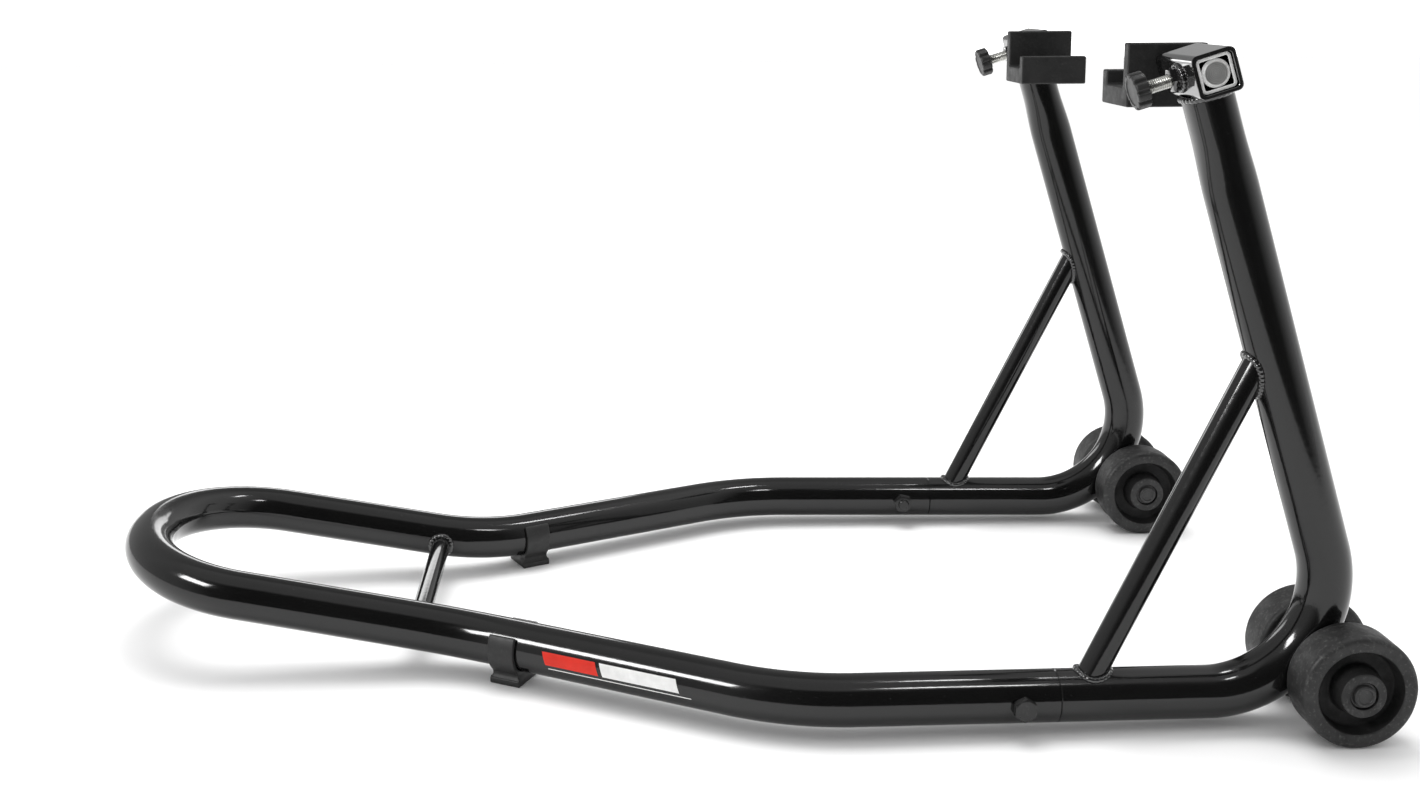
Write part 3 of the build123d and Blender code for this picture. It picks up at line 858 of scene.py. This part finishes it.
def axle_weld_loop(sign):
    """Loop where the axle sleeve meets the outside of the bend, both grown by the weld's offset."""
    turn = (-LEG_BACK).angle(UP)
    start = CORNER + LEG_BACK * BEND_R * tan(turn / 2)
    axis = LEG_BACK.cross(-UP).normalized()
    bend_middle = start + axis.cross(-LEG_BACK) * BEND_R
    bend_middle.y = SIDE_Y + 0.7 * MM
    bend_middle = sided(bend_middle, sign)
    between = sided(AXLE, sign) - bend_middle
    between.y = 0
    distance = between.length
    toward = between.normalized()
    flank = Vector((-toward.z, 0, toward.x))
    grown, sleeve_grown, half_run = TUBE_R + 1.4 * MM, SLEEVE_R + 1.4 * MM, 10.8 * MM
    upper, lower = [], []
    for k in range(-20, 21):
        offset = half_run * sin(pi / 2 * k / 20)
        reach = BEND_R + sqrt(grown ** 2 - offset ** 2)
        along_line = (distance ** 2 + reach ** 2 - sleeve_grown ** 2) / (2 * distance)
        height = sqrt(max(reach ** 2 - along_line ** 2, 0))
        point = bend_middle + toward * along_line + SIDEWAYS * offset
        upper.append(point + flank * height)
        lower.append(point - flank * height)
    return upper + lower[-2:0:-1]


WHEEL_OUTLINE = wheel_outline(HUB_IN - WHEEL_MIDDLE, HUB_OUT - WHEEL_MIDDLE)
CAP_OUTLINE = softened([(8.0 * MM, 0), (8.0 * MM, 1.2 * MM), (6.6 * MM, 1.2 * MM),
                        (6.3 * MM, 4.3 * MM), (4.6 * MM, 4.3 * MM), (4.2 * MM, 3.6 * MM),
                        (0.3 * MM, 3.6 * MM)],
                       [0.3 * MM, 0.5 * MM, 0.9 * MM, 0.4 * MM, 0.3 * MM], steps=4, closed=False)
WASHER_OUTLINE = ring_outline(1 * MM, 0.25 * MM)
SLEEVE_OUTLINE = ring_outline(2 * SLEEVE_HALF, 0.5 * MM)

for side, sign in SIDES:
    out = SIDEWAYS * sign
    hub = sided(AXLE, sign)
    for label, facing in (("outer", 1), ("inner", -1)):
        outward = out * facing
        seed = Vector((7.3 * sign, 3.1 * facing, 0))

        def worn(angle, radius, height):
            """Slight unevenness of a worn tread."""
            if radius < WHEEL_R - 4 * MM:
                return radius, height
            spot = Vector((cos(angle) * 3, sin(angle) * 3, height * 90)) + seed
            return radius - 0.16 * MM * abs(noise.noise(spot)), height

        name = f"{side}_{label}_wheel"
        place = pose(hub + outward * WHEEL_MIDDLE, ALONG, outward)
        # the faces in the recesses take the darker copy of the rubber: painted shade
        piece(f"{name}_tyre", *turned(place, WHEEL_OUTLINE, WHEEL_SEGMENTS, worn),
              (WHEEL, RECESS_PAINTED_SHADE), name, "wheel_nylon", [name], shades=recess_painted_shade_rows(WHEEL_OUTLINE))

        # one cap and one washer stand for the CAD node that holds all four
        first = sign > 0 and facing > 0
        place = pose(hub + outward * (HUB_OUT - 2.7 * MM), ALONG, outward)
        piece(f"{name}_cap", *turned(place, CAP_OUTLINE, 72, loop=False), HUB_CAP, "frame",
              "black_fastener", ["axle_caps"] if first else ())
        place = pose(hub + outward * SLEEVE_HALF, ALONG, outward)
        piece(f"{name}_washer", *turned(place, WASHER_OUTLINE, 64), ZINC, "frame", "zinc_steel",
              ["axle_washers"] if first else ())
    place = pose(hub - out * SLEEVE_HALF, ALONG, out)
    piece(f"{side}_axle_tube", *turned(place, SLEEVE_OUTLINE, 64), COAT, "frame", "powder_coat",
          [f"{side}_axle_sleeve"])
    weld(f"{side}_axle_weld", axle_weld_loop(sign), size=1.9 * MM)

# ================================ rests

REST_LENGTH = 49 * MM
REST_WALL = 8.5 * MM
REST_FLOOR = 12 * MM
REST_LOW_SIDE = 21 * MM
REST_EDGE = 1.1 * MM


def channel_outline(inset):
    """Section of the rest as (distance from the middle plane, height), drawn in by an inset."""
    outer, inner = REST_HIGH.y - inset, REST_LOW.y + inset
    top, bottom = REST_HIGH.z - inset, REST_LOW.z + inset
    floor_top = REST_LOW.z + REST_FLOOR - inset
    low_top = REST_LOW.z + REST_LOW_SIDE - inset
    thickness = REST_WALL - 2 * inset
    points = [
        (outer, bottom), (outer, top), (outer - thickness, top), (outer - thickness, floor_top),
        (inner + thickness, floor_top), (inner + thickness, low_top), (inner, low_top), (inner, bottom),
    ]
    corner, hollow = 1.3 * MM - inset, 1.2 * MM + inset
    return held(softened(points, [corner, corner, corner, hollow, hollow, corner, corner, corner]))


front_edge = []
for k in range(5, -1, -1):
    angle = pi / 2 * k / 5
    front_edge.append((REST_HIGH.x - REST_EDGE * (1 - sin(angle)), REST_EDGE * (1 - cos(angle))))
rest_back = REST_HIGH.x - REST_LENGTH
back_edge = [(rest_back + (REST_HIGH.x - x), inset) for x, inset in reversed(front_edge)]
for side, sign in SIDES:
    rings = [[Vector((x, y * sign, z)) for y, z in channel_outline(inset)]
             for x, inset in front_edge + back_edge]
    piece(f"{side}_rest_channel", *loft(rings, fans=False), REST, f"{side}_rest", "rest_rubber",
          [f"{side}_rest_cover"], sharp=40)

# ================================ foot clips

CLIP_THICK = 2.7 * MM
CLIP_IN = TUBE_R + 0.3 * MM
CLIP_OUT = CLIP_IN + CLIP_THICK
CLIP_HALF = 9.5 * MM
CLIP_EDGE = 0.7 * MM
PAD_HALF_WIDTH = 13.5 * MM
PAD_THICK = 4.2 * MM
PAD_LONGER = 1.5 * MM           # the pad reaches past the strap at each end
DIAGONAL = (KINK - SPLAY).normalized()
CLIP_MIDDLE = SPLAY + DIAGONAL * ((middle("left_foot_clip").x - SPLAY.x) / DIAGONAL.x)
PAD_TOP = PAD_THICK - CLIP_MIDDLE.z


def clip_outline(inset):
    """Section of the foot clip as (sideways, up from the tube's middle): strap, lips and pad."""
    lip_angle, waist_angle = radians(33), radians(-46)
    outer, inner = CLIP_OUT - inset, CLIP_IN + inset * 0.4
    pad_top, pad_bottom = PAD_TOP - inset, -CLIP_MIDDLE.z + inset
    # outside of the strap from the lip to the waist, then a bowed neck down to the pad
    points = []
    for k in range(25):
        angle = lip_angle + (waist_angle - lip_angle) * k / 24
        points.append((outer * cos(angle), outer * sin(angle)))
    neck_x, neck_y = points[-1]
    for k in range(1, 6):
        share = k / 6
        bow = 4 * share * (1 - share)
        points.append((neck_x + (PAD_HALF_WIDTH - neck_x) * share - 1.9 * MM * bow,
                       neck_y + (pad_top - neck_y) * share - 0.4 * MM * bow))
    corner, half = 0.9 * MM, PAD_HALF_WIDTH - inset
    for around, centre_y in ((pi / 2, pad_top - corner), (0.0, pad_bottom + corner)):
        for k in range(6):
            angle = around - pi / 2 * k / 5
            points.append((half - corner + corner * cos(angle), centre_y + corner * sin(angle)))
    points += [(-x, y) for x, y in reversed(points)]
    # rounded left lip, inside of the strap, rounded right lip
    left_tip = []
    for k in range(1, 7):
        angle = pi * k / 7
        reach = (outer + inner) / 2 + (outer - inner) / 2 * cos(angle)
        lift = (outer - inner) / 2 * sin(angle) * 0.9
        left_tip.append((-reach * cos(lip_angle) + lift * sin(lip_angle),
                         reach * sin(lip_angle) + lift * cos(lip_angle)))
    points += left_tip
    for k in range(33):
        angle = (pi - lip_angle) + (2 * lip_angle + pi) * k / 32
        points.append((inner * cos(angle), inner * sin(angle)))
    points += [(-x, y) for x, y in reversed(left_tip)]
    return points


clip_stations = [(-1, k / 4) for k in range(5)] + [(1, 1 - k / 4) for k in range(5)]
for side, sign in SIDES:
    origin = sided(CLIP_MIDDLE, sign)
    along = sided(Vector((DIAGONAL.x, DIAGONAL.y, 0)).normalized(), sign)
    across = Vector((-along.y, along.x, 0))
    rings = []
    for end, part in clip_stations:
        swing = part * pi / 2
        ring = []
        for x, y in clip_outline(CLIP_EDGE * (1 - sin(swing))):
            half = CLIP_HALF + (PAD_LONGER if y < PAD_TOP + 0.3 * MM else 0)
            shift = end * (half - CLIP_EDGE * (1 - cos(swing)))
            ring.append(origin + along * shift + across * x + Vector((0, 0, y)))
        rings.append(ring)
    piece(f"{side}_snap_clip", *loft(rings, fans=False), CLIP, "frame", "clip_plastic",
          [f"{side}_foot_clip"], sharp=40)

# ================================ stripe decal, on the right leg only

DECAL_LIFT = 0.06 * MM
DECAL_SLANT = -0.35
decal_end = sided(KINK, -1)
decal_along = -sided(DIAGONAL, -1)
decal_out = Vector((0, 0, 1)).cross(decal_along).normalized()
decal_out = decal_out if decal_out.y < 0 else -decal_out


def stripe(name, start, end, low, high, material):
    """A slanted band of film wrapped on the tube: low and high are heights on the tube's side."""
    rows, columns = 10, 24
    layers = []
    for lift in (DECAL_LIFT, 0.0):
        grid = []
        reach = TUBE_R + lift
        for row in range(rows + 1):
            height = low + (high - low) * row / rows
            angle = height / TUBE_R
            shift = (height - low) * DECAL_SLANT
            around = decal_out * reach * cos(angle) + Vector((0, 0, reach * sin(angle)))
            for column in range(columns + 1):
                run = start + (end - start) * column / columns + shift
                grid.append(decal_end + decal_along * run + around)
        layers.append(grid)
    width = columns + 1
    count = len(layers[0])
    faces = []
    for row in range(rows):
        for column in range(columns):
            here = row * width + column
            under = count + here
            faces.append((here, here + 1, here + 1 + width, here + width))
            faces.append((under, under + width, under + width + 1, under + 1))
    rim = list(range(columns))
    rim += [row * width + columns for row in range(rows)]
    rim += [rows * width + column for column in range(columns, 0, -1)]
    rim += [row * width for row in range(rows, 0, -1)]
    for k, here in enumerate(rim):
        after = rim[(k + 1) % len(rim)]
        faces.append((here, after, count + after, count + here))
    piece(name, layers[0] + layers[1], faces, material, "frame", "powder_coat")


stripe("decal_stripe_red", 72 * MM, 110 * MM, -2.0 * MM, 6.5 * MM, RED)
stripe("decal_stripe_white", 113 * MM, 166 * MM, -2.0 * MM, 6.5 * MM, WHITE)
stripe("decal_underline", 74 * MM, 174 * MM, -4.6 * MM, -4.0 * MM, WHITE)

# ================================ CAD nodes that stay

for side, sign in SIDES:
    for label, material in (("axle", ZINC), ("rod_pin", STEEL), ("rest_bracket", STEEL),
                            ("joint_spigot", STEEL)):
        slots = frame["nodes"][f"{side}_{label}"].data.materials
        slots.clear()
        slots.append(material)

# ================================ floor, light and camera

# Stops around the room are shares of a full turn: 0.5 is the front (-Y), 0.25 the handle's end,
# 0.75 the wheels' end, 0 and 1 the back. Shades are half the radiance.
GLOSS_AROUND = ((0.0, 0.15), (0.22, 0.33), (0.34, 0.28), (0.42, 0.05), (0.5, 0.025), (0.60, 0.04),
                (0.65, 0.24), (0.69, 0.38), (0.74, 0.5), (0.86, 0.5), (0.97, 0.15))
SOFT_AROUND = ((0.0, 0.75), (0.25, 0.6), (0.36, 0.35), (0.5, 0.2), (0.64, 0.35), (0.75, 0.6),
               (1.0, 0.75))
CEILING = ((0.0, 0.0), (0.925, 0.0), (0.955, 1.0), (1.0, 1.0))     # over the room's height
GLOSS_CEILING = 0.34
SOFT_CEILING = 0.62


def studio_world():
    """Pale room, dark in front; darker for reflections than for the light that it gives."""
    world = bpy.data.worlds.new("studio")
    bpy.context.scene.world = world
    world.use_nodes = True
    tree = NodeTree(world.node_tree)
    split = tree.node("ShaderNodeSeparateXYZ", tree.node("ShaderNodeTexCoord").outputs["Generated"])
    front = tree.node("ShaderNodeMath", split.outputs["Y"], operation="MULTIPLY")
    front.inputs[1].default_value = -1
    turn = tree.node("ShaderNodeMath", split.outputs["X"], front.outputs[0], operation="ARCTAN2")
    share = tree.node("ShaderNodeMapRange", turn.outputs[0])
    share.inputs["From Min"].default_value = -pi
    share.inputs["From Max"].default_value = pi
    height = tree.node("ShaderNodeMapRange", split.outputs["Z"])
    height.inputs["From Min"].default_value = -1
    over = tree.ramp(height.outputs[0], *CEILING)
    gloss = tree.mix(over, tree.ramp(share.outputs[0], *GLOSS_AROUND), GLOSS_CEILING)
    soft = tree.mix(over, tree.ramp(share.outputs[0], *SOFT_AROUND), SOFT_CEILING)
    path = tree.node("ShaderNodeLightPath")
    seen = tree.mix(path.outputs["Is Glossy Ray"], soft, gloss)
    final = tree.mix(path.outputs["Is Camera Ray"], seen, 1.0)
    boost = tree.node("ShaderNodeVectorMath", final, operation="SCALE")
    boost.inputs["Scale"].default_value = 2
    tree.links.new(boost.outputs[0], tree.nodes["Background"].inputs["Color"])


def area_light(name, place, target, size, watts, **visible):
    data = bpy.data.lights.new(name, "AREA")
    data.shape = "RECTANGLE"
    data.size, data.size_y = size
    data.energy = watts
    made = bpy.data.objects.new(name, data)
    made.location = place
    made.rotation_euler = (Vector(target) - Vector(place)).to_track_quat("-Z", "Y").to_euler()
    bpy.context.scene.collection.objects.link(made)
    for key, value in visible.items():
        setattr(made, key, value)


studio_world()
area_light("leg_softbox", (-1.15, -0.86, 1.09), target=(-0.06, -0.15, 0.02),
           size=(0.62, 0.34), watts=19, visible_diffuse=False)
for name, y, z in (("front_tube", -0.71, 1.53), ("back_tube", 0.21, 1.57)):
    area_light(name, (0.565, y, z), target=(0.565, -0.19, 0.02),
               size=(0.24, 0.09), watts=2.2, visible_diffuse=False)
area_light("key", (-0.2, 0.7, 2.4), target=(0, 0, 0),
           size=(1.8, 1.4), watts=38, visible_glossy=False)
area_light("back_softbox", (-0.32, 1.11, 0.40), target=(-0.2, 0, 0.03),
           size=(0.6, 0.22), watts=1.4, visible_diffuse=False, visible_camera=False)

FLOOR_FRONT, FLOOR_BACK, FLOOR_SIDE = -0.75, 9.0, 9.0
floor = bpy.data.objects.new("floor", bpy.data.meshes.new("floor"))
floor_corners = ((-FLOOR_SIDE, FLOOR_FRONT, 0), (FLOOR_SIDE, FLOOR_FRONT, 0),
                 (FLOOR_SIDE, FLOOR_BACK, 0), (-FLOOR_SIDE, FLOOR_BACK, 0))
floor.data.from_pydata(floor_corners, [], [(0, 1, 2, 3)])
bpy.context.scene.collection.objects.link(floor)
paper = Shader("floor_paper", Base_Color=(0.93, 0.93, 0.93, 1), Roughness=1.0, Specular_IOR_Level=0.0)
floor.data.materials.append(paper.material)

camera_data = bpy.data.cameras.new("camera")
camera_data.lens = 39.16
camera_data.sensor_width = 36
camera_data.shift_x = 0.0359
camera_data.shift_y = -0.12
camera = bpy.data.objects.new("camera", camera_data)
camera.location = (-0.0683, -1.0724, 0.4480)
camera.rotation_euler = (radians(81.07), radians(0.33), radians(-2.03))
bpy.context.scene.collection.objects.link(camera)
bpy.context.scene.camera = camera
bpy.context.scene.view_settings.view_transform = "Standard"

bpy.context.view_layer.update()
